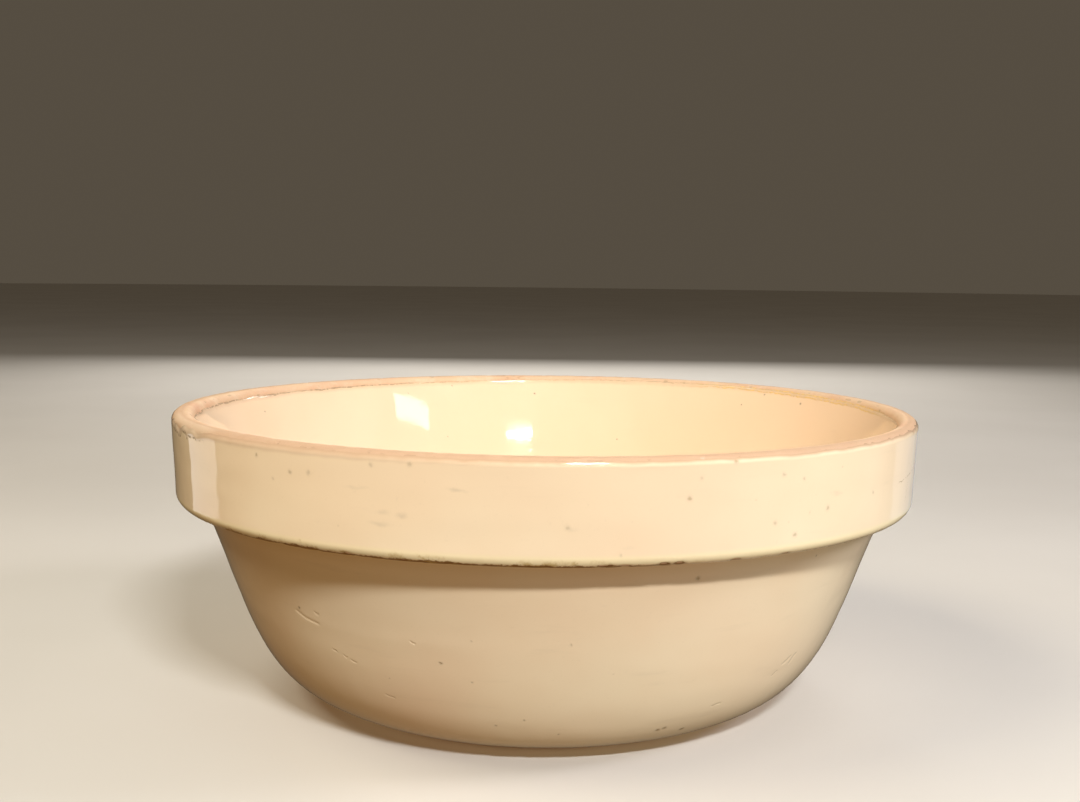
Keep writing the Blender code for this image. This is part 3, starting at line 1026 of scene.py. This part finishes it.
CAMERA_PLACE = Vector((-0.00194, -0.5284, 0.1739))
CAMERA_PITCH = math.radians(5.98)
CAMERA_ROLL = math.radians(0.64)
CAMERA_LENS = 41.67
CAMERA_SENSOR = 36
CAMERA_CLIP_START = 0.01

FLOOR_RADIUS = 12
FLOOR_DROP = 0.0001
FLOOR_DARK = (0.60, 0.57, 0.53, 1)
FLOOR_PALE = (0.64, 0.61, 0.57, 1)
WORLD_COLOUR = (0.92, 0.75, 0.54, 1)
WORLD_STRENGTH = 0.10


def make_camera():
    """The camera, a little above the rim and looking slightly down, with a slight roll."""
    right = Vector((1, 0, 0))
    up = Vector((0, math.sin(CAMERA_PITCH), math.cos(CAMERA_PITCH)))
    back = Vector((0, -math.cos(CAMERA_PITCH), math.sin(CAMERA_PITCH)))
    rolled_right = math.cos(CAMERA_ROLL) * right + math.sin(CAMERA_ROLL) * up
    rolled_up = -math.sin(CAMERA_ROLL) * right + math.cos(CAMERA_ROLL) * up
    turn = Matrix((rolled_right, rolled_up, back)).transposed()
    data = bpy.data.cameras.new("camera")
    data.lens = CAMERA_LENS
    data.sensor_width = CAMERA_SENSOR
    data.clip_start = CAMERA_CLIP_START
    camera = bpy.data.objects.new("camera", data)
    camera.matrix_world = Matrix.Translation(CAMERA_PLACE) @ turn.to_4x4()
    bpy.context.scene.collection.objects.link(camera)
    bpy.context.scene.camera = camera


def make_floor():
    """A wide pale floor with a faint mottle. It throws no light back up at the bowl."""
    bpy.ops.mesh.primitive_circle_add(vertices=96, radius=FLOOR_RADIUS, fill_type="NGON",
                                      location=(0, 0, -FLOOR_DROP))
    floor = bpy.context.object
    floor.name = "floor"
    graph = Graph("pale_floor")
    tone = graph.between(graph.noise(3, 3, 0.5), 0.3, 0.7)
    graph.feed(graph.shader.inputs["Base Color"], graph.mix(tone, FLOOR_DARK, FLOOR_PALE))
    graph.shader.inputs["Roughness"].default_value = FLOOR_ROUGHNESS
    floor.data.materials.append(graph.material)
    floor.visible_diffuse = False
    floor.visible_glossy = False
    floor.visible_shadow = False


# Lights that only shade the bowl: name, azimuth, elevation, distance, size, power and colour.
# The worktop lights stand in for the light that a brown worktop throws back up.
SHADING_LIGHTS = (
    ("front_soft", 14, 36, 1.4, (0.30, 0.06), 17.5, (0.98, 1.0, 1.0)),
    ("right_soft", 84, 28, 1.5, (0.40, 0.30), 11.0, (0.97, 0.94, 1.0)),
    ("left_soft", -68, 52, 1.5, (0.9, 0.6), 14.5, (1.0, 0.89, 0.68)),
    ("back_soft", 180, 20, 1.8, (1.4, 0.8), 13.0, (1.0, 0.97, 0.92)),
    ("worktop_left", -42, -38, 1.2, (1.2, 0.8), 2.6, (1.0, 0.50, 0.08)),
    ("worktop_right", 64, -35, 1.2, (1.2, 0.8), 4.6, (1.0, 0.95, 0.86)),
    ("worktop_back", 180, -35, 1.2, (1.2, 0.8), 2.5, (1.0, 0.80, 0.60)),
)
# Lights that only show as reflections in the glaze: windows, a lamp and two dim panels.
MIRRORED_LIGHTS = (
    ("front_window", 11, 34.1, 1.4, (0.25, 0.020), 1.0, (1.0, 0.98, 0.94)),
    ("right_window", 60, 33.0, 1.5, (0.32, 0.075), 0.7, (1.0, 0.98, 0.93)),
    ("ceiling_lamp", 22, 65, 1.5, (0.25, 0.12), 20.0, (1.0, 0.98, 0.94)),
    ("back_window", 170, 35, 1.6, (0.30, 0.05), 3.0, (1.0, 0.98, 0.94)),
    ("left_panel", -115, -8, 1.16, (0.38, 0.15), 0.19, (1.0, 0.95, 0.92)),
    ("right_panel", 138, -8, 1.13, (0.71, 0.15), 0.13, (0.80, 0.90, 1.0)),
)


def make_light(name, azimuth_degrees, elevation_degrees, distance, size, power, colour):
    """A rectangular soft light that faces the bowl and is itself out of sight."""
    azimuth, elevation = math.radians(azimuth_degrees), math.radians(elevation_degrees)
    away = Vector((math.sin(azimuth) * math.cos(elevation),
                   -math.cos(azimuth) * math.cos(elevation), math.sin(elevation)))
    data = bpy.data.lights.new(name, "AREA")
    data.shape = "RECTANGLE"
    data.size, data.size_y = size
    data.energy = power
    data.color = colour
    light = bpy.data.objects.new(name, data)
    light.location = Vector((0, 0, HEIGHT / 2)) + away * distance
    light.rotation_mode = "QUATERNION"
    light.rotation_quaternion = away.to_track_quat("Z", "Y")
    light.visible_camera = False
    bpy.context.scene.collection.objects.link(light)
    return light


def make_world():
    """Dim warm light from all round."""
    world = bpy.data.worlds.new("studio")
    world.use_nodes = True
    background = world.node_tree.nodes["Background"]
    background.inputs["Color"].default_value = WORLD_COLOUR
    background.inputs["Strength"].default_value = WORLD_STRENGTH
    bpy.context.scene.world = world


def make_stage():
    """Camera, floor, lights and world."""
    make_camera()
    make_floor()
    make_world()
    for light in SHADING_LIGHTS:
        make_light(*light).visible_glossy = False
    for light in MIRRORED_LIGHTS:
        make_light(*light).visible_diffuse = False
    bpy.context.scene.view_settings.view_transform = "Standard"


def main():
    """Builds the pieces and their materials, then the stage around them."""
    make_clay().data.materials.append(make_clay_material())
    make_inner_glaze().data.materials.append(make_inner_material())
    make_outer_glaze().data.materials.append(make_outer_material())
    make_base_glaze().data.materials.append(make_base_material())
    make_stage()


main()
